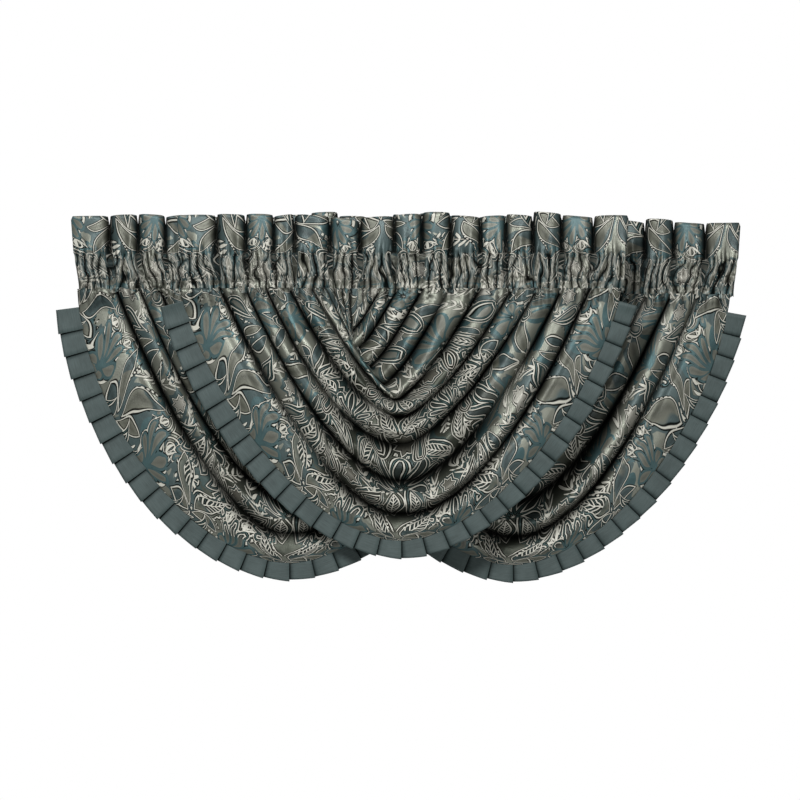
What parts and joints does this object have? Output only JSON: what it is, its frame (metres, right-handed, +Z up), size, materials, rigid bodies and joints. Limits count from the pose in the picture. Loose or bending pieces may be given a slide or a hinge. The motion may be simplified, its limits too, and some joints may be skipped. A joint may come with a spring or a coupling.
{
  "type": "overlapping waterfall valance set",
  "caption": "Overlapping swagged waterfall valances of gathered jacquard, each with a fluted header, an open rod pocket and a knife-pleated edge.",
  "frame": {"origin": "on the axis of the front valance's rod pocket, at its middle, straight above the lowest point of its hem", "axes": "+X along the rod to the right as seen from the room, +Y from the room towards the window, +Z up"},
  "size_m": [1.6734, 0.2151, 0.901],
  "materials": {
    "jacquard": "satin jacquard, taupe with teal, slate and cream figures",
    "slate_faille": "plain fine-ribbed faille, slate teal"
  },
  "bodies": {
    "root": {"front_panel": "jacquard", "front_heading": "jacquard", "front_pleated_edge": "slate_faille", "left_panel": "jacquard", "left_heading": "jacquard", "left_pleated_edge": "slate_faille", "right_panel": "jacquard", "right_heading": "jacquard", "right_pleated_edge": "slate_faille"}
  },
  "joints": []
}
